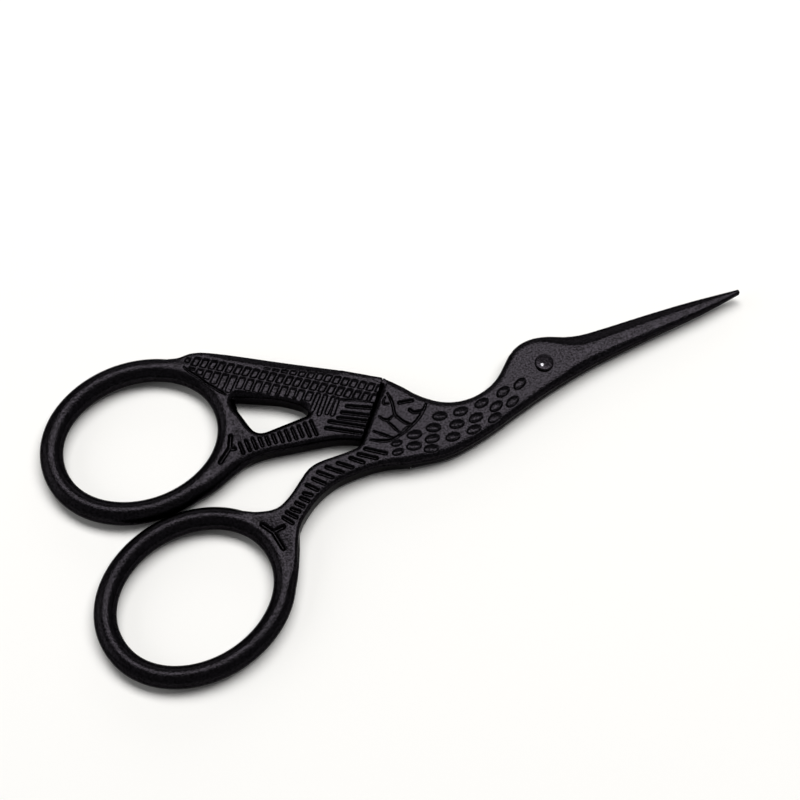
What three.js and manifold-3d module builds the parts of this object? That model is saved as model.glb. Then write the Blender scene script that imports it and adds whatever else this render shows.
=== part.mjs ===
// Stork embroidery scissors, closed, lying on their back.
// Two forged halves are lapped on each other from the body to the tips and turn on one rivet.
// Millimetres. The origin is on the rivet's axis in the plane of the back face.
// +X points to the tips (the beak), +Y to the wing, +Z out of the front face.

import * as THREE from 'three';
import { mergeVertices } from 'three/addons/utils/BufferGeometryUtils.js';
import Module from 'manifold-3d';

const wasm = await Module();
wasm.setup();

// Thickness, fits and edges
const thickness = 4.2;
const lapGap = 0.1;
const stepGap = 0.16;
const legRound = 0.7;
const bodyRound = 1.05;

// Blades
const bladeLength = 34.75;
const tipDrop = 0.47;
const tipWidth = 0.7;
const tipThickness = 0.75;
const billRoot = 8.65;
const billRise = 2.4;
const billDrop = 2.77;
const spineHeight = 0.85;
const cutHeight = 0.75;
const cutFullness = 1.5;
const ridgeShare = 0.42;
const ridgeFlat = 0.2;
const flankStraightness = 0.7;
const hollowDepth = 0.15;
const hollowLand = 0.55;

// Head, neck and body. Rises and drops are measured from the rivet's axis.
const crownRise = 4.9;
const crownBack = 0.55;
const headDrop = 4.07;
const neckBack = 12.85;
const neckDrop = 0.55;
const neckWidth = 6.57;
const breastBehindNeck = 6.5;
const breastDrop = 7.92;
const shoulderBehindNeck = 11.6;
const shoulderRise = 7.78;
const bellyBehindShoulder = 1.4;
const bellyDrop = 6.92;
const crotchBehindShoulder = 7.1;
const crotchDrop = 0.52;

// Finger rings: the centre line of the wire is an ellipse. The closed rings part along one line.
const ringLong = 28.5;
const ringWide = 23.35;
const wireWide = 3.45;
const wireHigh = 3.7;
const ringGap = 0.1;
const ringPartingRise = 0.24;
const rearRingBack = 63.45;
const rearRingTilt = THREE.MathUtils.degToRad(-1.5);
const frontRingBack = 64.5;
const frontRingTilt = THREE.MathUtils.degToRad(9);

// Legs and wing
const frontLegDrop = 0.75;
const frontLegWidth = 4.05;
const rearLegWidth = 3.3;
const rearLegRise = 3.53;
const wingCorner = 1.4;
const wingBand = 7.4;
const windowRound = 1.8;

// Rivet
const shankRadius = 1.1;
const boreClearance = 0.08;
const eyeLip = 0.45;
const eyeHeight = 0.55;
const tailLip = 0.65;
const tailDepth = 0.7;
const seatGap = 0.05;

// How finely the curves are cut
const flankSteps = 3;
const legSteps = 22;
const ringSteps = 48;
const wireSides = 14;
const rivetSides = 28;

const middle = thickness / 2;
const frontLap = middle + lapGap / 2;
const rearLap = middle - lapGap / 2;
const overall = bladeLength + rearRingBack + ringLong;
const eyeRadius = shankRadius + eyeLip;
const tailRadius = shankRadius + tailLip;
const boreRadius = shankRadius + boreClearance;

const ringReach = (tilt) => wireWide / 2
  + Math.hypot((ringLong / 2) * Math.sin(tilt), (ringWide / 2) * Math.cos(tilt));
const rearRing = {
  x: -rearRingBack,
  y: ringGap / 2 + ringPartingRise + ringReach(rearRingTilt),
  tilt: rearRingTilt,
};
const frontRing = {
  x: -frontRingBack,
  y: -ringGap / 2 + ringPartingRise - ringReach(frontRingTilt),
  tilt: frontRingTilt,
};

const mix = (a, b, share) => a + (b - a) * share;
const smooth = (x, from, to) => THREE.MathUtils.smoothstep(x, from, to);

// A point between two others, by its shares of the way along x and along y.
const between = (from, to, alongX, alongY) => [mix(from[0], to[0], alongX), mix(from[1], to[1], alongY)];

// A smooth line through a few points, as a function of x: cubic pieces with shared slopes,
// level at each high or low point so that the line never swings past it.
function lineThrough(points) {
  const sorted = [...points].sort((a, b) => a[0] - b[0]);
  const last = sorted.length - 1;
  const slope = (i) => {
    const before = sorted[Math.max(i - 1, 0)];
    const here = sorted[i];
    const after = sorted[Math.min(i + 1, last)];
    const turns = (here[1] - before[1]) * (after[1] - here[1]) <= 0 && i > 0 && i < last;
    return turns ? 0 : (after[1] - before[1]) / (after[0] - before[0]);
  };
  return (x) => {
    let i = 0;
    while (i < last - 1 && x > sorted[i + 1][0]) i += 1;
    const [x0, y0] = sorted[i];
    const [x1, y1] = sorted[i + 1];
    const run = x1 - x0;
    const t = THREE.MathUtils.clamp((x - x0) / run, 0, 1);
    const rise0 = slope(i) * run;
    const rise1 = slope(i + 1) * run;
    return y0 + rise0 * t + (3 * (y1 - y0) - 2 * rise0 - rise1) * t * t
      + (rise0 + rise1 - 2 * (y1 - y0)) * t * t * t;
  };
}

// A point beside a ring's centre line, at an angle from the ring's long axis.
function ringPoint(ring, degrees, outward) {
  const angle = THREE.MathUtils.degToRad(degrees);
  const local = new THREE.Vector2(
    (ringLong / 2 + outward) * Math.cos(angle),
    (ringWide / 2 + outward) * Math.sin(angle),
  );
  local.rotateAround(new THREE.Vector2(), ring.tilt);
  return [ring.x + local.x, ring.y + local.y];
}

// Geometry to solid and back
function solidOf(geometry) {
  const bare = geometry.index ? geometry.toNonIndexed() : geometry.clone();
  bare.deleteAttribute('normal');
  bare.deleteAttribute('uv');
  const merged = mergeVertices(bare, 1e-5);
  const corners = merged.index.array;
  const kept = [];
  for (let i = 0; i < corners.length; i += 3) {
    const [a, b, c] = [corners[i], corners[i + 1], corners[i + 2]];
    if (a !== b && b !== c && c !== a) kept.push(a, b, c);
  }
  return new wasm.Manifold(new wasm.Mesh({
    numProp: 3,
    vertProperties: merged.attributes.position.array,
    triVerts: Uint32Array.from(kept),
  }));
}

function meshOf(solid, name, material) {
  const { vertProperties, triVerts } = solid.getMesh();
  const geometry = new THREE.BufferGeometry();
  geometry.setAttribute('position', new THREE.BufferAttribute(vertProperties, 3));
  geometry.setIndex(new THREE.BufferAttribute(triVerts, 1));
  const flat = geometry.toNonIndexed();
  flat.computeVertexNormals();
  const mesh = new THREE.Mesh(flat, material);
  mesh.name = name;
  return mesh;
}

// A skin through rows of points, all with the same count. Open ends are capped from their middle.
function loft(rows, endless) {
  const corners = [];
  const face = (a, b, c) => corners.push(a, b, c);
  const count = rows[0].length;
  const rowTotal = rows.length;
  for (let i = 0; i < (endless ? rowTotal : rowTotal - 1); i += 1) {
    const here = rows[i];
    const next = rows[(i + 1) % rowTotal];
    for (let k = 0; k < count; k += 1) {
      const m = (k + 1) % count;
      face(here[k], next[k], next[m]);
      face(here[k], next[m], here[m]);
    }
  }
  const cap = (row, turned) => {
    const centre = row.reduce((sum, p) => sum.add(p), new THREE.Vector3()).divideScalar(count);
    for (let k = 0; k < count; k += 1) {
      const m = (k + 1) % count;
      if (turned) face(centre, row[m], row[k]);
      else face(centre, row[k], row[m]);
    }
  };
  if (!endless) {
    cap(rows[0], false);
    cap(rows[rowTotal - 1], true);
  }
  return new THREE.BufferGeometry().setFromPoints(corners);
}

function prism(points, low, high) {
  const outline = new THREE.Shape(points.map(([x, y]) => new THREE.Vector2(x, y)));
  const geometry = new THREE.ExtrudeGeometry(outline, { depth: high - low, bevelEnabled: false });
  return geometry.translate(0, 0, low);
}

// Outlines of the bird. Both halves share the line over the neck, head and beak, and the line under it.
const nape = [-neckBack, -neckDrop];
const shoulder = [-neckBack - shoulderBehindNeck, shoulderRise];
const belly = [shoulder[0] - bellyBehindShoulder, -bellyDrop];
const crotch = [shoulder[0] - crotchBehindShoulder, -crotchDrop];
const crown = [-crownBack, crownRise];
const billTop = [billRoot, billRise];
const billBottom = [billRoot, -billDrop];
const tipTop = [bladeLength, tipWidth / 2 - tipDrop];
const tipBottom = [bladeLength, -tipWidth / 2 - tipDrop];
const jaw = [0, -headDrop];
const gullet = [-neckBack, -neckDrop - neckWidth];
const breast = [-neckBack - breastBehindNeck, -breastDrop];

const crownLine = lineThrough([
  shoulder,
  between(shoulder, nape, 0.14, 0.175),
  between(shoulder, nape, 0.36, 0.577),
  between(shoulder, nape, 0.65, 0.89),
  nape,
  between(nape, crown, 0.3, 0.13),
  between(nape, crown, 0.5, 0.41),
  between(nape, crown, 0.66, 0.74),
  between(nape, crown, 0.83, 0.95),
  crown,
  between(crown, billTop, 0.33, 0.22),
  between(crown, billTop, 0.65, 0.71),
  billTop,
  between(billTop, tipTop, 0.45, 0.35),
  between(billTop, tipTop, 0.75, 0.65),
  tipTop,
]);
const throatPoints = [
  tipBottom,
  between(billBottom, tipBottom, 0.75, 0.62),
  between(billBottom, tipBottom, 0.4, 0.37),
  billBottom,
  jaw,
  between(jaw, gullet, 0.5, 0.48),
  gullet,
  breast,
  belly,
];
const rearThroat = lineThrough(throatPoints);

// The step where one half ends on the other: a straight line moved sideways, as a function of x.
function stepLine(from, to, leftward) {
  const run = to[0] - from[0];
  const rise = to[1] - from[1];
  const shift = (leftward * Math.hypot(run, rise)) / run;
  return (x) => from[1] + (rise * (x - from[0])) / run + shift;
}
const frontStep = stepLine(crotch, shoulder, -stepGap / 2);
const rearStep = stepLine(crotch, belly, stepGap / 2);
const frontCorner = shoulder[0] + stepGap;
const rearCorner = belly[0] + stepGap;

// The front half's leg: two edges back from the crotch, over a knee and down round the lower ring
const frontHub = [frontRing.x, frontRing.y];
const kneeTop = [crotch[0], crotch[1] - frontLegDrop];
const kneeUnder = [crotch[0], kneeTop[1] - frontLegWidth];
const frontLegTop = [
  kneeTop,
  between(kneeTop, frontHub, 0.1, 0),
  between(kneeTop, frontHub, 0.225, -0.016),
  between(kneeTop, frontHub, 0.29, 0.02),
  between(kneeTop, frontHub, 0.355, 0.14),
  between(kneeTop, frontHub, 0.425, 0.273),
  between(kneeTop, frontHub, 0.5, 0.352),
  ringPoint(frontRing, 27, wireWide * 0.64),
  ringPoint(frontRing, 36, wireWide * 0.45),
  ringPoint(frontRing, 46, wireWide * 0.3),
];
const frontLegUnder = [
  kneeUnder,
  between(kneeUnder, frontHub, 0.08, -0.02),
  between(kneeUnder, frontHub, 0.19, 0),
  between(kneeUnder, frontHub, 0.3, 0.15),
  between(kneeUnder, frontHub, 0.39, 0.39),
  between(kneeUnder, frontHub, 0.435, 0.57),
  ringPoint(frontRing, -3, wireWide * 1.08),
  ringPoint(frontRing, -9, wireWide * 0.83),
  ringPoint(frontRing, -17, wireWide * 0.64),
  ringPoint(frontRing, -27, wireWide * 0.45),
  ringPoint(frontRing, -38, wireWide * 0.25),
];
const frontThroat = lineThrough([...throatPoints, between(belly, kneeUnder, 0.6, 0.7), kneeUnder]);

// The rear half's leg and wing: from the crotch and the shoulder to the upper ring
const rearArch = [mix(crotch[0], rearRing.x, 0.5), rearLegRise];
const rearLegBottom = lineThrough([
  crotch,
  between(crotch, rearArch, 0.12, 0.25),
  between(crotch, rearArch, 0.28, 0.48),
  between(crotch, rearArch, 0.6, 0.74),
  rearArch,
  ringPoint(rearRing, -42, wireWide * 0.95),
  ringPoint(rearRing, -50, wireWide * 0.5),
  ringPoint(rearRing, -58, wireWide * 0.35),
]);
const wingTip = ringPoint(rearRing, 46, wireWide / 2 + wingCorner);
const wingFillet = ringPoint(rearRing, 51.5, wireWide / 2 + wingCorner * 0.15);
const wingTop = lineThrough([
  shoulder,
  between(shoulder, wingTip, 0.08, 0.11),
  between(shoulder, wingTip, 0.5, 0.535),
  between(shoulder, wingTip, 0.92, 0.955),
  wingTip,
  wingFillet,
  ringPoint(rearRing, 58, wireWide * 0.42),
]);

const frontLine = {
  top: (x) => (x > frontCorner ? crownLine(x) : frontStep(x)),
  bottom: frontThroat,
};
const rearLine = {
  top: (x) => (x > shoulder[0] ? crownLine(x) : wingTop(x)),
  bottom: (x) => (x > rearCorner ? rearThroat(x) : x > crotch[0] ? rearStep(x) : rearLegBottom(x)),
};

// Half of the thickness, from the middle plane to the outer face, along the length
const bladeCrown = lineThrough([
  [crownBack, middle],
  [billRoot / 2, middle],
  [billRoot, mix(middle, tipThickness, 0.12)],
  [mix(billRoot, bladeLength, 0.5), mix(middle, tipThickness, 0.6)],
  [bladeLength, tipThickness],
]);
function outerFace(x, awayFromRing) {
  return x > crownBack ? bladeCrown(x) : mix(wireHigh / 2, middle, awayFromRing);
}

// One row of points round a half, between its upper and lower edges at a station. The long edges are
// rounded on the body and run out into the blade's two flanks, a straight one and a full one, which meet
// at a ridge.
function sectionAt(list, i, ring, spineOnTop) {
  const here = list[i];
  const before = list[Math.max(i - 1, 0)];
  const after = list[Math.min(i + 1, list.length - 1)];
  const x = (here.top.x + here.bottom.x) / 2;
  const width = here.top.distanceTo(here.bottom);
  const across = here.top.clone().sub(here.bottom).normalize();
  const ringEdge = ring.x + ringLong / 2;
  const awayFromRing = smooth(x, ringEdge - wireWide / 2, ringEdge + wireWide);
  const high = outerFace(x, awayFromRing);
  const round = mix(legRound, bodyRound, smooth(x, crotch[0], shoulder[0]));
  const blade = smooth(x, -crownBack, billRoot + crownBack);
  const widestRound = 0.4;
  const roundAt = (edge) => {
    const along = after[edge].clone().sub(before[edge]).normalize();
    return Math.min(round / Math.abs(along.cross(across)), width * widestRound);
  };
  const spineFlank = width * ridgeShare - ridgeFlat / 2;
  const cutFlank = width * (1 - ridgeShare) - ridgeFlat / 2;
  const taper = mix(1, tipThickness / middle, smooth(x, billRoot, bladeLength));
  const flank = (spine, edge) => {
    const wide = mix(roundAt(edge), spine ? spineFlank : cutFlank, blade);
    const foot = mix(high - round, (spine ? spineHeight : cutHeight) * taper, blade);
    const straightness = spine ? flankStraightness * blade : 0;
    const power = spine ? 1 : mix(1, 1 / cutFullness, blade);
    const points = [];
    for (let k = 0; k <= flankSteps; k += 1) {
      const angle = (k / flankSteps) * (Math.PI / 2);
      const along = mix(1 - Math.cos(angle) ** power, k / flankSteps, straightness);
      const up = mix(Math.sin(angle) ** power, k / flankSteps, straightness);
      points.push([wide * along, mix(foot, high, up)]);
    }
    return points;
  };
  const lower = flank(!spineOnTop, 'bottom');
  const upper = flank(spineOnTop, 'top').map(([far, out]) => [width - far, out]).reverse();
  const face = [...lower, ...upper];
  const place = (far, z) => {
    const spot = here.bottom.clone().addScaledVector(across, far);
    return new THREE.Vector3(spot.x, spot.y, z);
  };
  const front = face.map(([far, out]) => place(far, middle + out));
  const back = face.map(([far, out]) => place(far, middle - out)).reverse();
  return [...front, ...back];
}

// Upright stations from a start to the tip, close together where the outline bends, and at given corners
function stations(line, start, corners) {
  const list = [...corners];
  const run = (from, to, count) => {
    for (let i = 0; i < count; i += 1) list.push(mix(from, to, i / count));
  };
  if (start < crotch[0]) run(start, crotch[0], legSteps);
  run(crotch[0], shoulder[0], 7);
  run(shoulder[0], nape[0], 10);
  run(nape[0], billRoot, 18);
  run(billRoot, bladeLength, 7);
  list.push(bladeLength);
  const apart = (x, i, all) => i === 0 || x - all[i - 1] > legRound / 10;
  return list.sort((a, b) => a - b).filter(apart).map((x) => ({
    top: new THREE.Vector2(x, line.top(x)),
    bottom: new THREE.Vector2(x, line.bottom(x)),
  }));
}

// Stations of the front leg, which fan round from the ring to the crotch
function legStations() {
  const along = (points) => {
    const curve = new THREE.SplineCurve(points.map(([x, y]) => new THREE.Vector2(x, y)));
    return curve.getSpacedPoints(legSteps).reverse();
  };
  const tops = along(frontLegTop);
  const bottoms = along(frontLegUnder);
  return tops.slice(0, -1).map((top, i) => ({ top, bottom: bottoms[i] }));
}

// A finger ring: an oval wire bent to an ellipse
function ringSolid(ring) {
  const rows = [];
  for (let i = 0; i < ringSteps; i += 1) {
    const degrees = (360 * i) / ringSteps;
    const [x, y] = ringPoint(ring, degrees, 0);
    const [outX, outY] = ringPoint(ring, degrees, 1);
    const out = new THREE.Vector3(outX - x, outY - y, 0).normalize();
    const row = [];
    for (let k = 0; k < wireSides; k += 1) {
      const turn = (2 * Math.PI * k) / wireSides;
      const side = (Math.cos(turn) * wireWide) / 2;
      const high = (Math.sin(turn) * wireHigh) / 2;
      row.push(new THREE.Vector3(x + out.x * side, y + out.y * side, middle + high));
    }
    rows.push(row);
  }
  return solidOf(loft(rows, true));
}

// The space inside a ring's centre line, cleared before the wire goes in
function ringCore(ring) {
  const points = [];
  for (let i = 0; i < ringSteps; i += 1) points.push(ringPoint(ring, (360 * i) / ringSteps, 0));
  return solidOf(prism(points, -thickness, 2 * thickness));
}

// A half before its lap is cut: leg, body and blade in one skin, with the ring's wire joined on
function halfBlank(list, ring, spineOnTop) {
  const rows = list.map((station, i) => sectionAt(list, i, ring, spineOnTop));
  return solidOf(loft(rows, false)).subtract(ringCore(ring)).add(ringSolid(ring));
}

// The lap: the half's other layer is cut away beyond the line from the crotch to the given corner.
function lapCut(corner, leftward, low, high) {
  const run = corner[0] - crotch[0];
  const rise = corner[1] - crotch[1];
  const shift = leftward / Math.hypot(run, rise);
  const along = (share) => [
    crotch[0] + run * share - rise * shift,
    crotch[1] + rise * share + run * shift,
  ];
  const side = Math.sign(rise) * overall;
  const past = overall / Math.hypot(run, rise);
  const points = [along(-past), along(past), [overall, side], [overall, -side]];
  return solidOf(prism(points, low, high));
}

// Hollow grinding on the inner face of a blade, between flat lands along its edges
function hollowCut(line, face, inward) {
  const rows = [];
  const lengthSteps = 8;
  const widestLand = 0.25;
  const start = tailRadius + hollowLand * 2;
  const end = bladeLength - hollowLand * 5;
  for (let i = 0; i <= lengthSteps; i += 1) {
    const x = mix(start, end, i / lengthSteps);
    const land = Math.min(hollowLand, (line.top(x) - line.bottom(x)) * widestLand);
    const top = line.top(x) - land;
    const bottom = line.bottom(x) + land;
    const deep = hollowDepth * Math.cos((i / (lengthSteps + 1)) * (Math.PI / 2));
    const row = [];
    for (let k = 0; k <= flankSteps * 2; k += 1) {
      const share = k / (flankSteps * 2);
      const bow = 4 * share * (1 - share);
      row.push(new THREE.Vector3(x, mix(bottom, top, share), face + inward * bow * deep));
    }
    row.push(new THREE.Vector3(x, top, face - inward * lapGap));
    row.push(new THREE.Vector3(x, bottom, face - inward * lapGap));
    rows.push(inward > 0 ? row : row.reverse());
  }
  return solidOf(loft(rows, false));
}

function lathe(points) {
  const profile = points.map(([radius, z]) => new THREE.Vector2(radius, z));
  return solidOf(new THREE.LatheGeometry(profile, rivetSides).rotateX(Math.PI / 2));
}

// The wing's window: rounded corners between the ring, the leg and the feathered band above it
function windowCut() {
  const ringEdge = rearRing.x + ringLong / 2;
  const sill = rearLegRise + rearLegWidth;
  const end = mix(crotch[0], rearRing.x, 0.18);
  const bandAt = (x) => wingTop(x) - wingBand;
  const bend = mix(end, ringEdge, 0.3);
  const corners = [
    new THREE.Vector2(ringEdge + wireWide * 0.8, sill),
    new THREE.Vector2(end, sill),
    new THREE.Vector2(mix(end, bend, 0.2), mix(sill, bandAt(bend), 0.45)),
    new THREE.Vector2(bend, bandAt(bend)),
    new THREE.Vector2(ringEdge + wireWide * 0.25, bandAt(ringEdge + wireWide * 0.6)),
  ];
  const widestRound = 0.45;
  const outline = new THREE.Shape();
  corners.forEach((corner, i) => {
    const toBefore = corners.at(i - 1).clone().sub(corner);
    const toAfter = corners[(i + 1) % corners.length].clone().sub(corner);
    const round = Math.min(windowRound, toBefore.length() * widestRound, toAfter.length() * widestRound);
    const inPoint = corner.clone().add(toBefore.setLength(round));
    const outPoint = corner.clone().add(toAfter.setLength(round));
    if (i === 0) outline.moveTo(inPoint.x, inPoint.y);
    else outline.lineTo(inPoint.x, inPoint.y);
    outline.quadraticCurveTo(corner.x, corner.y, outPoint.x, outPoint.y);
  });
  outline.closePath();
  const geometry = new THREE.ExtrudeGeometry(outline, {
    depth: 3 * thickness,
    bevelEnabled: false,
    curveSegments: 5,
  });
  return solidOf(geometry.translate(0, 0, -thickness));
}

// Front half: the upper layer from the body to the tip, with a running bore for the rivet
const bore = lathe([[0, -thickness], [boreRadius, -thickness], [boreRadius, 2 * thickness], [0, 2 * thickness]]);
const frontStations = [...legStations(), ...stations(frontLine, crotch[0], [frontCorner])];
const frontHalf = halfBlank(frontStations, frontRing, true)
  .subtract(lapCut(belly, -stepGap / 2, -thickness, frontLap))
  .subtract(hollowCut(frontLine, frontLap, 1))
  .subtract(bore);

// Rear half: the lower layer, with a countersink in its back for the rivet's tail
const countersink = lathe([
  [0, -thickness],
  [tailRadius + boreClearance, -thickness],
  [tailRadius + boreClearance, 0],
  [boreRadius, tailDepth],
  [boreRadius, 2 * thickness],
  [0, 2 * thickness],
]);
const rearStart = rearRing.x + ringLong * 0.3;
const rearStations = stations(rearLine, rearStart, [rearCorner, wingTip[0], wingFillet[0]]);
const rearHalf = halfBlank(rearStations, rearRing, false)
  .subtract(lapCut(shoulder, stepGap / 2, rearLap, 2 * thickness))
  .subtract(windowCut())
  .subtract(hollowCut(rearLine, rearLap, -1))
  .subtract(countersink);

// Rivet: flush tail on the back, shank, and the domed head that is the eye
const eyeSeat = thickness + seatGap;
const eyeTop = eyeSeat + eyeHeight;
const rivet = lathe([
  [0, 0],
  [tailRadius, 0],
  [shankRadius, tailDepth],
  [shankRadius, eyeSeat],
  [eyeRadius, eyeSeat],
  [eyeRadius, mix(eyeSeat, eyeTop, 0.35)],
  [eyeRadius * 0.88, mix(eyeSeat, eyeTop, 0.7)],
  [eyeRadius * 0.6, mix(eyeSeat, eyeTop, 0.92)],
  [0, eyeTop],
]);

// Colours: black satin coating all over, the rivet a shade brighter where it is rubbed
const coatedSteel = new THREE.MeshStandardMaterial({ color: 0x1d1c1e, roughness: 0.38, metalness: 0.6 });
const coatedRivet = new THREE.MeshStandardMaterial({ color: 0x242225, roughness: 0.32, metalness: 0.7 });

const scissors = new THREE.Group();
scissors.add(meshOf(frontHalf, 'front_half', coatedSteel));
scissors.add(meshOf(rearHalf, 'rear_half', coatedSteel));
scissors.add(meshOf(rivet, 'pivot_rivet', coatedRivet));

export default scissors;
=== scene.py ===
# Stork embroidery scissors of oxide-blackened steel, lying closed on a white table.
import math
import bpy
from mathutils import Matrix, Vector


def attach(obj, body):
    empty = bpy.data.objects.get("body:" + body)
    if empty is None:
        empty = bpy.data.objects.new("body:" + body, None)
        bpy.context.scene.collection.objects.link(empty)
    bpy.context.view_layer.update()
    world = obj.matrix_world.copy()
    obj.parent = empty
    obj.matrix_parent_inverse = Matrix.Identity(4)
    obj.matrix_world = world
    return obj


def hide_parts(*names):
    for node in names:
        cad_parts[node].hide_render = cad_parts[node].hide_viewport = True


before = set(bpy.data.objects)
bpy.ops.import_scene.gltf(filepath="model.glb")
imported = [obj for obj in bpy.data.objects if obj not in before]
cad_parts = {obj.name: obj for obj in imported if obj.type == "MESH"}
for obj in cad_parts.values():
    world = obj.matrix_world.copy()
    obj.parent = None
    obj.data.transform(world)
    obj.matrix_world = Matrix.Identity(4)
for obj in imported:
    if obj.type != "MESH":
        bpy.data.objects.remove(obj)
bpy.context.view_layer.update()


# Rear half
# One drop-forged steel lever: upper finger ring, upper leg, the wing with its window, the lower
# layer of body, neck and head, and the rear blade. The die strikes the feathers into it, and the
# finished lever is blackened in a hot oxide bath and oiled.

# Sizes are in millimetres, and angles in degrees from the blades' direction
mm = 0.001
front = 1
back = -1
front_face = 4.2
lap_height = 2.1
ring_half_length = 15.995
ring_half_width = 13.42
ring_half_height = 1.98
rough_voxel = 0.1
fine_voxel = 0.065
soft_rounds = 40
most_triangles = 195000


def take_up(*pieces):
    """Select these pieces alone, the first of them active."""
    bpy.ops.object.select_all(action='DESELECT')
    for piece in pieces:
        piece.select_set(True)
    bpy.context.view_layer.objects.active = pieces[0]


def work(piece, kind, **settings):
    """Put one modifier on a piece and apply it."""
    step = piece.modifiers.new(kind.title(), kind)
    for name, value in settings.items():
        setattr(step, name, value)
    take_up(piece)
    bpy.ops.object.modifier_apply(modifier=step.name)


def forging(node, name):
    """A copy of a lever's solid, its loose triangles merged to one skin."""
    merge_gap = 0.0001
    blank = bpy.data.objects.new(name, bpy.data.objects[node].data.copy())
    bpy.context.scene.collection.objects.link(blank)
    blank.data.materials.clear()
    take_up(blank)
    bpy.ops.object.mode_set(mode='EDIT')
    bpy.ops.mesh.select_all(action='SELECT')
    bpy.ops.mesh.remove_doubles(threshold=merge_gap * mm)
    bpy.ops.object.mode_set(mode='OBJECT')
    return blank


def bow(centre, turn, wire):
    """The wire of one finger ring, bent to its oval."""
    bpy.ops.object.select_all(action='DESELECT')
    place = (centre[0] * mm, centre[1] * mm, lap_height * mm)
    heading = (0, 0, math.radians(turn))
    bpy.ops.curve.primitive_bezier_circle_add(radius=1, location=place, rotation=heading)
    ring = bpy.context.object
    for point in ring.data.splines[0].bezier_points:
        for end in (point.handle_left, point.handle_right, point.co):
            end.x *= (ring_half_length - wire) * mm
            end.y *= (ring_half_width - wire) * mm
    ring.data.resolution_u = 32
    ring.data.bevel_depth = wire * mm
    ring.data.bevel_resolution = 8
    bpy.ops.object.convert(target='MESH')
    ring = bpy.context.object
    ring.scale.z = ring_half_height / wire
    bpy.ops.object.transform_apply(location=True, rotation=True, scale=True)
    return ring


def lay(route, line):
    """One smooth spline of a curve, through these places."""
    spline = route.splines.new('BEZIER')
    spline.bezier_points.add(len(line) - 1)
    for point, (x, y, z) in zip(spline.bezier_points, line):
        point.co = (x * mm, y * mm, z * mm)
        point.handle_left_type = 'AUTO'
        point.handle_right_type = 'AUTO'
    return spline


def fillet(line, radius, height=lap_height, reach=ring_half_height):
    """A rounded bar along a line, which fills out a joint or an edge."""
    route = bpy.data.curves.new("fillet", 'CURVE')
    route.dimensions = '3D'
    route.bevel_depth = radius * mm
    route.bevel_resolution = 8
    route.use_fill_caps = True
    lay(route, [(x, y, 0) for x, y in line])
    bar = bpy.data.objects.new("fillet", route)
    bpy.context.scene.collection.objects.link(bar)
    bar.location.z = height * mm
    bar.scale.z = reach / radius
    take_up(bar)
    bpy.ops.object.convert(target='MESH')
    bpy.ops.object.transform_apply(location=True, rotation=True, scale=True)
    return bpy.context.object


# What stays crisp: the ground lap, the two ends of its step and, from the head on, the blade
lap_end = -33
lap_skin = 0.5
step_corners = [(-24.45, 7.78), (-25.85, -6.92)]
corner_core = 1.4
corner_reach = 2.4
corner_share = 0.1
head_length = 9
blade_share = 0.5


def soften(piece):
    """Draw the forging's edges round, and less so where they stay crisp."""
    groups = {}
    for point in piece.data.vertices:
        x, y, z = point.co / mm
        to_corner = min(math.dist((x, y), corner) for corner in step_corners)
        share = 1.0
        if x > lap_end and abs(z - lap_height) < lap_skin:
            share = 0.0
        elif to_corner < corner_reach:
            share = max(corner_share, to_corner - corner_core)
        elif x > 0:
            share = max(blade_share, 1 - x / head_length)
        groups.setdefault(round(share, 1), []).append(point.index)
    soft = piece.vertex_groups.new(name="soft")
    for share, points in groups.items():
        soft.add(points, share, 'REPLACE')
    work(piece, 'SMOOTH', factor=0.5, iterations=soft_rounds, vertex_group="soft")
    piece.vertex_groups.clear()


def skin_height(piece, x, y, side):
    """Height of the front or back face over one place."""
    clear = 20
    most_dip = 1
    level = front_face if side > 0 else 0.0
    start = Vector((x * mm, y * mm, clear * side * mm))
    hit, place, normal, face = piece.ray_cast(start, Vector((0, 0, -side)))
    if hit and abs(place.z / mm - level) < most_dip:
        level = place.z / mm
    return level


def cell(x, y, length, width, turn, squareness, lean=90):
    """Outline of one mark about its middle: an oval at squareness 2, a rounded box above that."""
    corners = 24
    along = Vector((math.cos(math.radians(turn)), math.sin(math.radians(turn))))
    beside = Vector((math.cos(math.radians(turn + lean)), math.sin(math.radians(turn + lean))))
    outline = []
    for i in range(corners):
        angle = math.tau * i / corners
        ahead = math.copysign(abs(math.cos(angle)) ** (2 / squareness), math.cos(angle))
        out = math.copysign(abs(math.sin(angle)) ** (2 / squareness), math.sin(angle))
        outline.append(Vector((x, y)) + along * ahead * length / 2 + beside * out * width / 2)
    return outline


def stroke(line, width):
    """Outline of one mark along a line, with rounded ends."""
    cap_steps = 4
    stops = [Vector(place) for place in line]

    def beside(i):
        ahead = (stops[min(i + 1, len(stops) - 1)] - stops[max(i - 1, 0)]).normalized()
        return Vector((ahead.y, -ahead.x)) * width / 2

    def cap(stop, right):
        ahead = Vector((-right.y, right.x))
        turns = [math.pi * i / cap_steps for i in range(cap_steps + 1)]
        return [stop + right * math.cos(turn) + ahead * math.sin(turn) for turn in turns]

    inner = range(1, len(stops) - 1)
    outline = [stops[i] + beside(i) for i in inner]
    outline += cap(stops[-1], beside(len(stops) - 1))
    outline += [stops[i] - beside(i) for i in reversed(inner)]
    outline += cap(stops[0], -beside(0))
    return outline


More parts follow.
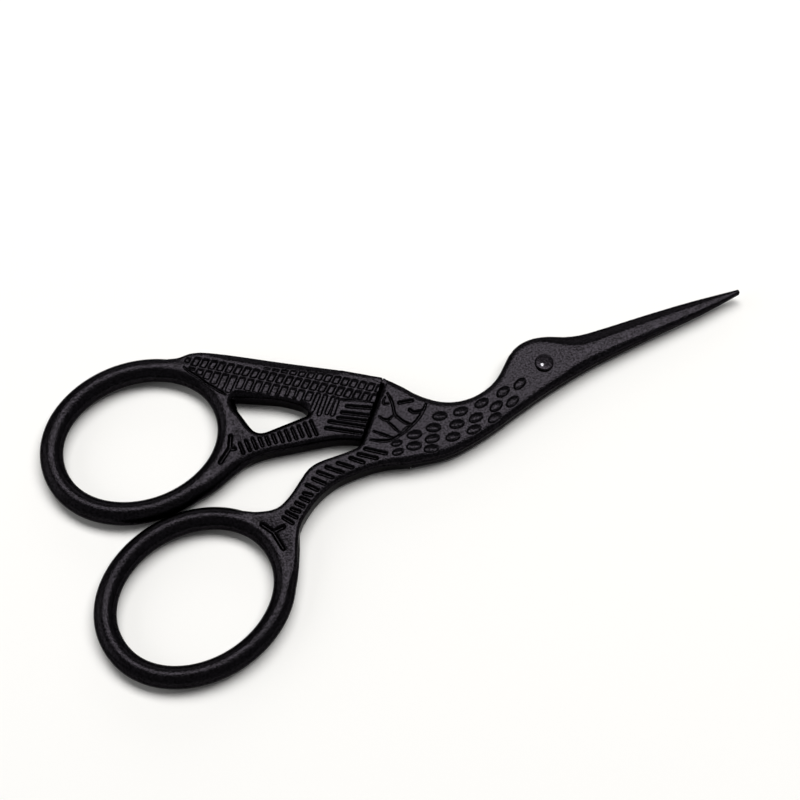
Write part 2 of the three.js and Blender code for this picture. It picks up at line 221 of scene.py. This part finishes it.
def strike(piece, outlines, side, steps):
    """Cutters for die marks on one face, each step a sloping wall's width and its depth."""
    proud = 0.3
    cutters = []
    for outline in outlines:
        bpy.ops.object.select_all(action='DESELECT')
        bpy.ops.mesh.primitive_cylinder_add(vertices=len(outline), depth=2)
        mark = bpy.context.object
        middle = sum((Vector(corner) for corner in outline), Vector((0, 0))) / len(outline)
        level = skin_height(piece, middle.x, middle.y, side)
        for point in mark.data.vertices:
            x, y = outline[point.index // 2]
            rise = proud if point.co.z * side > 0 else 0
            point.co = (x * mm, y * mm, (level + side * rise) * mm)
        cutters.append(mark)
    take_up(*cutters)
    bpy.ops.object.join()
    die = bpy.context.object
    bpy.ops.object.mode_set(mode='EDIT')
    bpy.ops.mesh.select_mode(type='FACE')
    bpy.ops.mesh.select_all(action='SELECT')
    bpy.ops.mesh.normals_make_consistent(inside=False)
    bpy.ops.mesh.select_all(action='DESELECT')
    bpy.ops.object.mode_set(mode='OBJECT')
    for face in die.data.polygons:
        face.select = face.normal.z * side < -0.5
    bpy.ops.object.mode_set(mode='EDIT')
    for wall, depth in steps:
        bpy.ops.mesh.inset(thickness=wall * mm, depth=depth * mm, use_individual=True)
    bpy.ops.object.mode_set(mode='OBJECT')
    return die


def graver(width, floor, depth):
    """Cross-section of a chased line: widest at the skin, with a narrow flat floor."""
    outline = bpy.data.curves.new("graver", 'CURVE')
    line = outline.splines.new('POLY')
    line.points.add(5)
    upper = [(width, 0), (floor, depth), (-floor, depth)]
    lower = [(-width, 0), (-floor, -depth), (floor, -depth)]
    for point, (across, up) in zip(line.points, upper + lower):
        point.co = (across * mm / 2, up * mm, 0, 1)
    line.use_cyclic_u = True
    tool = bpy.data.objects.new("graver", outline)
    bpy.context.scene.collection.objects.link(tool)
    return tool


def chase(piece, lines, side, width, floor, depth, closed=False):
    """Cutters for curved lines chased into a face, each narrower at its ends."""
    end_share = 0.6
    merge_gap = 0.001
    tool = graver(width, floor, depth)
    route = bpy.data.curves.new("chasing", 'CURVE')
    route.dimensions = '3D'
    route.twist_mode = 'Z_UP'
    route.bevel_mode = 'OBJECT'
    route.bevel_object = tool
    route.use_fill_caps = True
    route.resolution_u = 6
    for line in lines:
        spline = lay(route, [(x, y, skin_height(piece, x, y, side)) for x, y in line])
        spline.use_cyclic_u = closed
        if not closed:
            spline.bezier_points[0].radius = end_share
            spline.bezier_points[-1].radius = end_share
    cutter = bpy.data.objects.new("chasing", route)
    bpy.context.scene.collection.objects.link(cutter)
    take_up(cutter)
    bpy.ops.object.convert(target='MESH')
    bpy.ops.object.mode_set(mode='EDIT')
    bpy.ops.mesh.select_all(action='SELECT')
    bpy.ops.mesh.remove_doubles(threshold=merge_gap * mm)
    bpy.ops.mesh.normals_make_consistent(inside=False)
    bpy.ops.object.mode_set(mode='OBJECT')
    bpy.data.objects.remove(tool)
    return cutter


def press(piece, cutters):
    """Sink all the marks into the piece."""
    for cutter in cutters:
        work(piece, 'BOOLEAN', object=cutter, operation='DIFFERENCE', solver='MANIFOLD')
        bpy.data.objects.remove(cutter)


def dress(piece):
    """Round every edge as tumbling does, thin the skin to what the eye needs, and set it on the table."""
    work(piece, 'REMESH', mode='VOXEL', voxel_size=fine_voxel * mm)
    work(piece, 'SMOOTH', factor=0.5, iterations=2)
    piece.data.calc_loop_triangles()
    ratio = most_triangles / len(piece.data.loop_triangles)
    if ratio < 1:
        work(piece, 'DECIMATE', ratio=ratio)
    for point in piece.data.vertices:
        point.co.z = max(0.0, point.co.z)
    piece.data.materials.clear()
    take_up(piece)
    bpy.ops.object.shade_smooth()


# Wing feathers: a long row of cells, shorter ones towards the wing's edge and longer ones inward.
# The steps are those that the die strikes, each a wall's width and its depth
row_start = Vector((-50.72, 22.1))
row_step = Vector((1.121, -0.809))
row_count = 22
row_lean = 104.2
row_gap = 1.04
cell_turn = 40
cell_length = 1.75
cell_width = 1.22
cell_squareness = 6
cell_steps = [(0.3, 0.36)]
barb = Vector((0.766, 0.643))
wing_row = [row_start + row_step * i for i in range(row_count)]
wing_cells = []
for x, y in wing_row:
    wing_cells.append(cell(x, y, cell_length, cell_width, cell_turn, cell_squareness, row_lean))
first_edge_cell = 8
edge_lengths = [0.45, 0.6, 0.8, 1.0, 1.2, 1.4] + [1.55] * 8
edge_steps = [(0.18, 0.2), (0.1, 0.12)]
edge_cells = []
for place, length in zip(wing_row[first_edge_cell:], edge_lengths):
    x, y = place + barb * (row_gap + length / 2)
    edge_cells.append(cell(x, y, length, cell_width, cell_turn, cell_squareness, row_lean))
quill = Vector((0.707, 0.707))
feather_turn = 45
feather_lean = 99
feather_width = 1.2
feather_squareness = 7
feather_steps = [(0.24, 0.3)]
feather_lengths = [0.6, 1.1, 1.6, 2.2, 2.9, 3.2] + [2.2] * 8 + [1.8]
feather_cells = [cell(-51.84, 22.9, 1.0, 0.95, cell_turn, 4)]
for place, length in zip(wing_row, feather_lengths):
    x, y = place - barb * row_gap - quill * length / 2
    feather_cells.append(cell(x, y, length, feather_width, feather_turn, feather_squareness, feather_lean))
long_quills = [
    [(-36.93, 7.1), (-34.93, 9.2)], [(-36.13, 6.1), (-34.03, 8.5)],
    [(-34.93, 5.8), (-33.03, 7.7)], [(-34.23, 5.2), (-32.53, 7.2)],
]
quill_width = 0.9
quill_steps = [(0.26, 0.32)]

# Flank, leg and claw, and the groove where the wing meets the ring
band_line = [[(-32.53, 7.2), (-31.13, 6.5), (-29.73, 5.9), (-28.03, 4.8)]]
flank_bars = [
    [(-31.63, 5.6), (-27.13, 3.2)], [(-32.73, 4.9), (-28.03, 2.2)], [(-33.63, 4.3), (-28.63, 1.4)],
    [(-35.13, 4.3), (-29.63, 0.8)], [(-36.03, 3.5), (-30.53, 0.0)],
]
flank_width = 0.72
flank_steps = [(0.32, 0.42)]
leg_start = -49.4
leg_spacing = 1.058
leg_tops = [6.5, 6.5, 6.4, 6.1, 5.8, 5.7, 5.7, 5.6, 5.5, 5.5, 5.5, 5.5]
leg_feet = [4.75, 4.75, 4.65, 4.65, 4.45, 4.35, 4.05, 3.85, 3.65, 3.65, 3.25, 3.05]
leg_width = 0.72
leg_steps = [(0.3, 0.38)]
leg_strokes = []
for i, (top, foot) in enumerate(zip(leg_tops, leg_feet)):
    x = leg_start + leg_spacing * i
    leg_strokes.append([(x, top), (x, foot)])
claw = [[(-50.2, 8.2), (-51.05, 6.4)], [(-51.1, 6.35), (-53.3, 4.75)], [(-50.9, 6.2), (-50.4, 5.97)]]
claw_width = 0.82
claw_steps = [(0.34, 0.42)]
ring_groove = [[
    (-52.9, 22.1), (-52.3, 20.9), (-51.2, 19.2), (-50.5, 17.9), (-49.7, 16.8), (-49.0, 15.8), (-48.4, 14.9),
]]

# Breast fan and body feathers, which both levers carry: each feather's place, turn and size
fan_arc = [
    (-30.55, -0.99), (-29.3, -1.68), (-28.09, -2.22), (-27.0, -2.33), (-25.9, -2.17), (-23.9, -1.58),
    (-21.79, -0.54), (-20.51, 0.5), (-19.87, 1.22),
]
fan_rib = [
    (-24.92, 5.24), (-24.8, 3.89), (-24.96, 2.52), (-25.17, 1.39), (-24.76, 0.26), (-24.01, -0.87),
    (-23.3, -1.4),
]
fan_foot = [(-29.51, 0.16), (-28.21, -1.05), (-27.05, -2.15)]
fan_brow = [(-25.39, 4.7), (-26.1, 3.8), (-25.3, 3.3)]
fan_bend = [(-27.73, 2.13), (-26.82, 0.99), (-25.35, 1.3)]
fan_fork = [(-26.84, 0.96), (-26.23, -0.52), (-25.62, -1.99)]
fan_end = [(-25.5, -1.85), (-24.2, -1.3)]
breast_lines = [[fan_arc], [fan_rib, fan_foot], [fan_brow, fan_bend], [fan_fork], [fan_end]]
breast_bars = [[(-23.85, 2.86), (-21.76, 2.41)], [(-22.77, 1.14), (-22.39, 0.48), (-21.15, 0.15)]]
bar_width = 0.7
bar_steps = [(0.3, 0.38)]
body_length = 2.5
body_width = 1.55
body_steps = [(0.24, 0.24), (0.4, 0.1)]
body_feathers = [
    (-18.83, -1.71, -15, 1), (-15.53, -2.31, -5, 1), (-11.93, -2.31, 5, 1), (-8.03, -1.91, 15, 1),
    (-5.03, -1.71, 22, 1), (-23.73, -3.01, -13, 1), (-20.53, -3.11, -18, 1), (-16.93, -4.01, -10, 1),
    (-13.73, -4.21, 3, 1), (-10.03, -3.71, 15, 1), (-7.33, -4.01, 20, 1), (-26.83, -3.21, -8, 0.75),
    (-27.23, -4.61, -5, 0.78), (-24.53, -4.71, -15, 1), (-21.43, -4.71, -8, 1), (-18.33, -5.71, -8, 1),
    (-14.83, -5.91, 0, 1), (-11.03, -5.41, 12, 1), (-22.23, -6.21, -15, 1),
]


def feather_breast(piece, side):
    """Cutters for the breast fan and the small body feathers."""
    ovals = [cell(x, y, body_length * size, body_width * size, turn, 2) for x, y, turn, size in body_feathers]
    bars = [stroke(line, bar_width) for line in breast_bars]
    cutters = [strike(piece, ovals, side, body_steps), strike(piece, bars, side, bar_steps)]
    for lines in breast_lines:
        cutters.append(chase(piece, lines, side, width=0.56, floor=0.1, depth=0.36))
    return cutters


# Edges that are broken with a file: all round the window and along the top of the wing
window_edge = [[
    (-46.9, 8.6), (-46.3, 7.46), (-45.3, 6.9), (-44.0, 6.83), (-41.0, 6.83), (-38.6, 6.83),
    (-37.75, 6.93), (-37.55, 7.4), (-38.0, 8.48), (-39.0, 9.5), (-40.64, 10.73), (-42.33, 11.73),
    (-45.35, 13.28), (-47.1, 14.15), (-47.85, 14.05), (-48.0, 13.3), (-47.5, 11.2),
]]
wing_edge = [[
    (-27.9, 10.43), (-32.3, 13.2), (-38.03, 16.75), (-49.43, 23.79), (-51.6, 24.54), (-52.8, 24.2),
]]

rear_half = forging("rear_half", "rear_lever")
bpy.context.view_layer.update()
press(rear_half, [chase(rear_half, window_edge, front, width=1.5, floor=0.1, depth=0.7, closed=True)])
press(rear_half, [chase(rear_half, window_edge, back, width=0.7, floor=0.1, depth=0.25, closed=True)])
for side in (front, back):
    press(rear_half, [chase(rear_half, wing_edge, side, width=2.8, floor=0.1, depth=0.48)])
ring = bow(centre=(-63.45, 13.685), turn=-1.5, wire=1.84)
heel_line = [(-47.5, 5.25), (-50.0, 4.8), (-52.6, 4.05), (-55.0, 3.2), (-57.4, 2.65), (-60.2, 2.5)]
heel = fillet(heel_line, radius=1.6)
corner = fillet([(-57.2, 24.3), (-55.2, 23.5), (-53.5, 22.7), (-51.9, 21.7)], radius=1.4)
lip = fillet([(-30.39, 11.29), (-27.98, 9.61), (-24.83, 7.49)], radius=0.6, height=3.58, reach=0.6)
take_up(rear_half, ring, heel, corner, lip)
bpy.ops.object.join()
work(rear_half, 'REMESH', mode='VOXEL', voxel_size=rough_voxel * mm)
soften(rear_half)
bpy.context.view_layer.update()
rear_marks = [
    (wing_cells, cell_steps),
    (edge_cells, edge_steps),
    (feather_cells, feather_steps),
    ([stroke(line, quill_width) for line in long_quills], quill_steps),
    ([stroke(line, flank_width) for line in flank_bars], flank_steps),
    ([stroke(line, leg_width) for line in leg_strokes], leg_steps),
]
rear_marks += [([stroke(line, claw_width)], claw_steps) for line in claw]
marks = feather_breast(rear_half, back)
for side in (front, back):
    marks += [strike(rear_half, outlines, side, steps) for outlines, steps in rear_marks]
    marks.append(chase(rear_half, band_line, side, width=0.46, floor=0.08, depth=0.28))
    marks.append(chase(rear_half, ring_groove, side, width=0.6, floor=0.12, depth=0.4))
press(rear_half, marks)
dress(rear_half)


def linear(code):
    """An sRGB hex colour as linear light."""
    parts = [int(code[i:i + 2], 16) / 255 for i in (1, 3, 5)]
    return tuple(p / 12.92 if p <= 0.04045 else ((p + 0.055) / 1.055) ** 2.4 for p in parts) + (1.0,)


def add(tree, kind, links=None, **settings):
    """One node with its settings and its input links."""
    node = tree.nodes.new(kind)
    for name, value in settings.items():
        if name in node.inputs:
            node.inputs[name].default_value = value
        else:
            setattr(node, name, value)
    for name, source in (links or {}).items():
        tree.links.new(source, node.inputs[name])
    return node


# Steel blackened in a hot oxide bath and oiled: a satin near-black skin with a breath of violet,
# which goes quite black where it turns away from the light. The forging's grain, drawn a little
# coarser than it is so that it shows, breaks up the shine, and wear varies it from place to place.
grain_size = 0.3
grain_depth = 0.045
wear_size = 3.5


def blackened_steel(name, darkest, palest, smoothest, roughest):
    """The blackened skin between two colours and two roughnesses."""
    steel = bpy.data.materials.new(name)
    steel.use_nodes = True
    tree = steel.node_tree
    skin = tree.nodes["Principled BSDF"]
    skin.inputs["Metallic"].default_value = 1.0
    skin.inputs["Specular Tint"].default_value = linear("#b6b6b6")
    place = add(tree, "ShaderNodeTexCoord").outputs["Object"]
    grain = add(tree, "ShaderNodeTexNoise", {"Vector": place}, Scale=1 / (grain_size * mm), Detail=2.0)
    speckle = add(tree, "ShaderNodeValToRGB", {"Fac": grain.outputs["Fac"]})
    speckle.color_ramp.elements[0].position = 0.35
    speckle.color_ramp.elements[0].color = linear(darkest)
    speckle.color_ramp.elements[1].position = 0.65
    speckle.color_ramp.elements[1].color = linear(palest)
    wear = add(tree, "ShaderNodeTexNoise", {"Vector": place}, Scale=1 / (wear_size * mm), Detail=3.0)
    satin = add(tree, "ShaderNodeMapRange", {"Value": wear.outputs["Fac"]})
    satin.inputs["To Min"].default_value = smoothest
    satin.inputs["To Max"].default_value = roughest
    relief = add(tree, "ShaderNodeBump", {"Height": grain.outputs["Fac"]}, Strength=1.0)
    relief.inputs["Distance"].default_value = grain_depth * mm
    tree.links.new(speckle.outputs["Color"], skin.inputs["Base Color"])
    tree.links.new(satin.outputs["Result"], skin.inputs["Roughness"])
    tree.links.new(relief.outputs["Normal"], skin.inputs["Normal"])
    return steel


blackened = blackened_steel("oxide_blackened_steel", "#0b0a0b", "#1d1b1e", 0.19, 0.26)
rear_half.data.materials.append(blackened)
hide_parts("rear_half")
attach(rear_half, "rear_half")


# Front half
# The matching lever: lower finger ring, lower leg, the upper layer of body, neck and head with
# the breast fan and the rows of small feathers, and the front blade. It is forged, struck and
# blackened as the rear half is.

shin_strokes = [
    [(-31.74, -2.1), (-29.04, -4.1)], [(-33.04, -2.5), (-30.64, -4.3)], [(-34.44, -2.6), (-32.84, -4.1)],
    [(-36.54, -2.6), (-34.74, -4.2)], [(-38.44, -2.5), (-36.44, -4.4)], [(-39.94, -2.8), (-38.14, -4.5)],
    [(-41.04, -3.5), (-39.64, -5.0)], [(-42.34, -4.0), (-41.04, -5.5)], [(-43.24, -5.1), (-42.24, -5.9)],
    [(-43.94, -5.6), (-43.04, -6.6)], [(-44.94, -6.1), (-44.04, -7.1)], [(-45.94, -6.7), (-44.94, -7.6)],
    [(-46.84, -6.9), (-45.74, -8.3)], [(-47.64, -7.5), (-46.64, -8.9)],
]
foot_claw = [
    [(-51.04, -7.15), (-49.94, -8.9)], [(-49.9, -8.95), (-49.44, -12.05)], [(-49.7, -8.95), (-48.14, -8.85)],
]
shin_width = 0.74
shin_steps = [(0.3, 0.38)]
foot_width = 0.9
foot_steps = [(0.38, 0.45)]
pad_height = 1.85


def stop_face(middle, turn, length, width):
    """A pad at the end of a step, where the closed levers all but meet."""
    bpy.ops.object.select_all(action='DESELECT')
    place = [value * mm for value in middle]
    heading = (0, 0, math.radians(turn))
    pad = (length * mm, width * mm, pad_height * mm)
    bpy.ops.mesh.primitive_cube_add(size=1, location=place, rotation=heading, scale=pad)
    bpy.ops.object.transform_apply(location=True, rotation=True, scale=True)
    return bpy.context.object


front_half = forging("front_half", "front_lever")
ring = bow(centre=(-64.495, -13.262), turn=9, wire=1.77)
heel_line = [
    (-47.2, -8.7), (-47.6, -9.9), (-48.0, -11.05), (-49.0, -13.35), (-49.8, -15.0), (-50.7, -16.6),
    (-51.8, -18.2), (-52.8, -19.5),
]
heel = fillet(heel_line, radius=1.5)
shoulder = stop_face(middle=(-24.62, 7.23, 3.22), turn=49.4, length=0.95, width=0.54)
belly = stop_face(middle=(-26.304, -6.454, 1.02), turn=-48.3, length=0.7, width=0.18)
take_up(front_half, ring, heel, shoulder, belly)
bpy.ops.object.join()
work(front_half, 'REMESH', mode='VOXEL', voxel_size=rough_voxel * mm)
soften(front_half)
bpy.context.view_layer.update()
front_marks = [([stroke(line, shin_width) for line in shin_strokes], shin_steps)]
front_marks += [([stroke(line, foot_width)], foot_steps) for line in foot_claw]
marks = feather_breast(front_half, front)
for side in (front, back):
    marks += [strike(front_half, outlines, side, steps) for outlines, steps in front_marks]
press(front_half, marks)
dress(front_half)
front_half.data.materials.append(blackened)
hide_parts("front_half")
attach(front_half, "front_half")


# Pivot rivet
# The steel rivet that both levers turn on. Its tail is flush in the back, and its head is set by
# hand into a sloping button, a little higher on one side, which is the bird's eye.

# Radius and height, from the tail up the shank to the head
rivet_profile = [
    (1.75, 0.0), (1.1, 0.7), (1.1, 4.25), (1.48, 4.25), (1.5, 4.28), (1.48, 4.38), (1.42, 4.5),
    (1.34, 4.57), (1.22, 4.61), (1.0, 4.63), (0.5, 4.64),
]
rivet_sides = 64
tail_radius = rivet_profile[0][0]
head_seat = 4.25
head_rise = 0.3
head_drop = 0.04
slope_along = 0.105
slope_across = 0.118
crease_angle = 50
bpy.ops.object.select_all(action='DESELECT')
bpy.ops.mesh.primitive_circle_add(
    vertices=rivet_sides, radius=tail_radius * mm, fill_type='NGON', location=(0, 0, 0),
)
eye = bpy.context.object
eye.name = "eye_rivet"
bpy.ops.object.mode_set(mode='EDIT')
bpy.ops.mesh.select_all(action='SELECT')
for (radius, height), (next_radius, next_height) in zip(rivet_profile, rivet_profile[1:]):
    lift = (0, 0, (next_height - height) * mm)
    bpy.ops.mesh.extrude_region_move(TRANSFORM_OT_translate={"value": lift})
    shrink = next_radius / radius
    bpy.ops.transform.resize(value=(shrink, shrink, 1), center_override=(0, 0, 0))
bpy.ops.mesh.select_all(action='SELECT')
bpy.ops.mesh.normals_make_consistent(inside=False)
bpy.ops.object.mode_set(mode='OBJECT')
for point in eye.data.vertices:
    weight = min(1, max(0, (point.co.z / mm - head_seat) / head_rise))
    point.co.z -= weight * (slope_along * point.co.x + slope_across * point.co.y + head_drop * mm)
take_up(eye)
bpy.ops.object.shade_smooth_by_angle(angle=math.radians(crease_angle))

# The same blackened steel, a shade paler, with a painted highlight at the head's high side: a pale
# spot painted into the colour, which gives the eye its small bright glint
glint_place = Vector((-0.546, -0.31, 4.7))
glint_core_radius = 0.14
glint_edge_radius = 0.32
rivet_steel = blackened_steel("oxide_blackened_rivet", "#161416", "#262327", 0.2, 0.28)
tree = rivet_steel.node_tree
coat = tree.nodes["Principled BSDF"].inputs["Base Color"]
place = add(tree, "ShaderNodeTexCoord").outputs["Object"]
distance = add(tree, "ShaderNodeVectorMath", {0: place}, operation='DISTANCE')
distance.inputs[1].default_value = glint_place * mm
# Mask of the painted highlight: full at the spot's core, fading out by its edge
glint_mask = add(tree, "ShaderNodeMapRange", {"Value": distance.outputs["Value"]})
glint_mask.inputs["From Min"].default_value = glint_core_radius * mm
glint_mask.inputs["From Max"].default_value = glint_edge_radius * mm
glint_mask.inputs["To Min"].default_value = 1.0
glint_mask.inputs["To Max"].default_value = 0.0
# Painted highlight: the pale colour is mixed into the coat's colour under the mask
glint_mix = add(tree, "ShaderNodeMixRGB", {"Fac": glint_mask.outputs["Result"], "Color1": coat.links[0].from_socket})
glint_mix.inputs["Color2"].default_value = linear("#b4b2b6")
tree.links.new(glint_mix.outputs["Color"], coat)
eye.data.materials.append(rivet_steel)
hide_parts("pivot_rivet")
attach(eye, "rear_half")


# Table top
# A sheet of white card that the scissors lie on, far wider than the picture. It lies just below
# their flat backs.

table_width = 4000
table_gap = 0.02
bpy.ops.object.select_all(action='DESELECT')
bpy.ops.mesh.primitive_plane_add(size=table_width * mm, location=(0, 0, -table_gap * mm))
table = bpy.context.object
table.name = "table_top"

# Uncoated card: matt warm white with no shine, which keeps a soft shadow. A trace of glow, for the
# camera and in reflections alone, holds it just under white.
card_glow = 0.01
card = bpy.data.materials.new("white_card")
card.use_nodes = True
tree = card.node_tree
sheet = tree.nodes["Principled BSDF"]
sheet.inputs["Base Color"].default_value = linear("#fdfcf9")
sheet.inputs["Roughness"].default_value = 0.9
sheet.inputs["Specular IOR Level"].default_value = 0.0
sheet.inputs["Emission Color"].default_value = linear("#ffffff")
rays = add(tree, "ShaderNodeLightPath").outputs
seen = add(tree, "ShaderNodeMath", {0: rays["Is Camera Ray"], 1: rays["Is Glossy Ray"]}, operation='ADD')
seen = add(tree, "ShaderNodeMath", {0: seen.outputs[0], 1: rays["Is Transmission Ray"]}, operation='ADD')
glow = add(tree, "ShaderNodeMath", {0: seen.outputs[0]}, operation='MULTIPLY')
glow.inputs[1].default_value = card_glow
tree.links.new(glow.outputs[0], sheet.inputs["Emission Strength"])
table.data.materials.append(card)


# Light
# One long softbox overhead, a little beyond the scissors, and pale cards beyond them and to the
# left. The room is white to the camera, under half as bright in the metal, and lights little.

lamp_distance = 1500
aim = Vector((-22.9, 4.7, 0.0)) * mm
across = Vector((0.919, -0.394, 0.0))
beyond = Vector((0.394, 0.919, 0.0))
up = Vector((0.0, 0.0, 1.0))


def hang(name, toward, width, height, power):
    """A flat lamp in one direction from the scissors, turned to face them."""
    bpy.ops.object.light_add(type='AREA', location=aim + lamp_distance * mm * toward)
    lamp = bpy.context.object
    lamp.name = name
    lamp.data.shape = 'RECTANGLE'
    lamp.data.size = width * mm
    lamp.data.size_y = height * mm
    lamp.data.energy = power
    lamp.rotation_euler = (lamp.location - aim).to_track_quat('Z', 'Y').to_euler()


hang("softbox", 0.113 * across + 0.32 * beyond + 0.94 * up, width=1620, height=650, power=25)
hang("far_card", 0.95 * beyond + 0.3 * up, width=1800, height=600, power=3)
hang("left_card", 0.45 * up - 0.9 * across, width=1200, height=1200, power=5)

room_light = 0.05
room_mirrored = 0.4
room_seen = 0.95
room = bpy.data.worlds.new("white_room")
bpy.context.scene.world = room
room.use_nodes = True
tree = room.node_tree
walls = tree.nodes["Background"]
walls.inputs["Color"].default_value = linear("#fbfbff")
rays = add(tree, "ShaderNodeLightPath").outputs
bounced = add(
    tree, "ShaderNodeMath", {0: rays["Is Glossy Ray"], 1: rays["Is Transmission Ray"]}, operation='ADD',
)
mirrored = add(tree, "ShaderNodeMath", {0: bounced.outputs[0]}, operation='MULTIPLY_ADD')
mirrored.inputs[1].default_value = room_mirrored
mirrored.inputs[2].default_value = room_light
strength = add(
    tree, "ShaderNodeMath", {0: rays["Is Camera Ray"], 2: mirrored.outputs[0]}, operation='MULTIPLY_ADD',
)
strength.inputs[1].default_value = room_seen
tree.links.new(strength.outputs[0], walls.inputs["Strength"])


# Camera
# Above and in front, 69 degrees up, the blades pointing up and to the right.

camera_place = Vector((-63.544, -90.169, 268.871)) * mm
camera_target = Vector((-22.886, 4.695, 0)) * mm
bpy.ops.object.camera_add(location=camera_place)
camera = bpy.context.object
camera.data.lens = 81
camera.data.sensor_width = 36
camera.data.clip_start = 10 * mm
camera.rotation_euler = (camera_target - camera_place).to_track_quat('-Z', 'Y').to_euler()
bpy.context.scene.camera = camera
bpy.context.scene.view_settings.view_transform = 'Standard'
